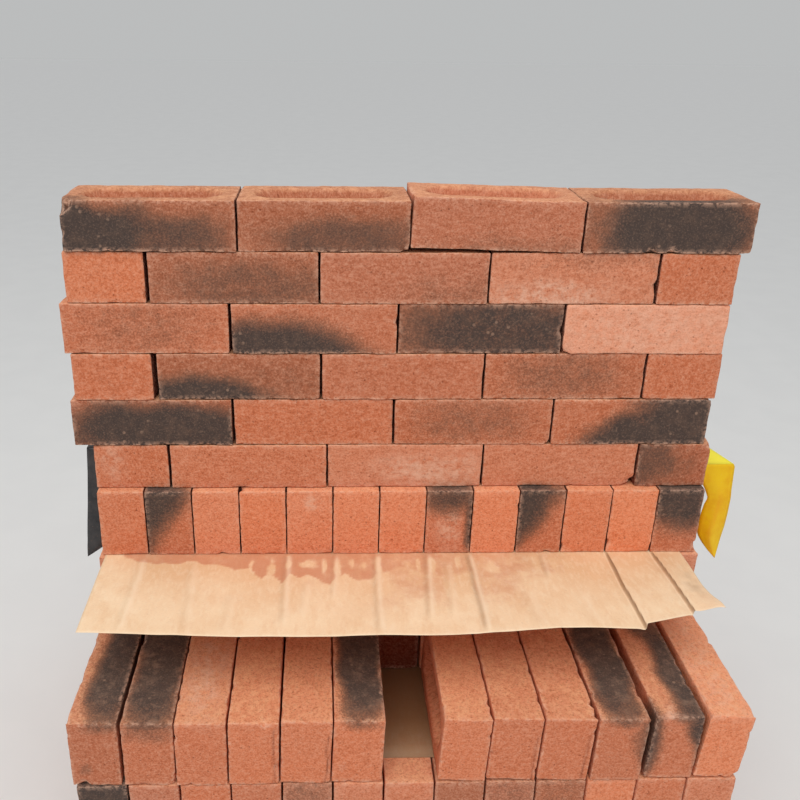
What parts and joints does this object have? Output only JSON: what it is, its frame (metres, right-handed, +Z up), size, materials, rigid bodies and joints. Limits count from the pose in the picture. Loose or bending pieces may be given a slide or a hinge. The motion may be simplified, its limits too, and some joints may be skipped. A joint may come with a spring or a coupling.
{
  "type": "opened pack of bricks with a dry-laid brick panel on top",
  "caption": "Opened pack of frogged clay bricks stacked on edge in layers, with kraft paper between layers and a dry-laid sample panel of bricks standing on top.",
  "frame": {"origin": "on the ground at the middle of the pack's footprint", "axes": "+Z up, +X to the right along the panel's face, +Y to the back, so the front with the open slot faces -Y"},
  "size_m": [1.025, 1.0873, 1.3291],
  "materials": {
    "brick": "matt sanded fired clay, orange-red with grey-black burnt patches",
    "kraft_paper": "matt brown kraft paper, creased and dusty",
    "yellow_plastic": "satin yellow plastic strip",
    "black_plastic": "glossy black plastic strip"
  },
  "bodies": {
    "root": {"pack_layer_1": "brick", "pack_layer_2": "brick", "pack_layer_3": "brick", "pack_layer_4": "brick", "pack_layer_5": "brick", "pack_layer_6": "brick", "pack_layer_7": "brick", "pack_layer_8": "brick", "pack_core_lower": "brick", "pack_core_upper": "brick", "panel_header_course": "brick", "panel_course_1": "brick", "panel_course_2": "brick", "panel_course_3": "brick", "panel_course_4": "brick", "panel_course_5": "brick", "panel_course_6": "brick", "paper_sheet_lower": "kraft_paper", "paper_sheet_top": "kraft_paper", "loose_strip_yellow": "yellow_plastic", "loose_strip_black": "black_plastic"}
  },
  "joints": []
}
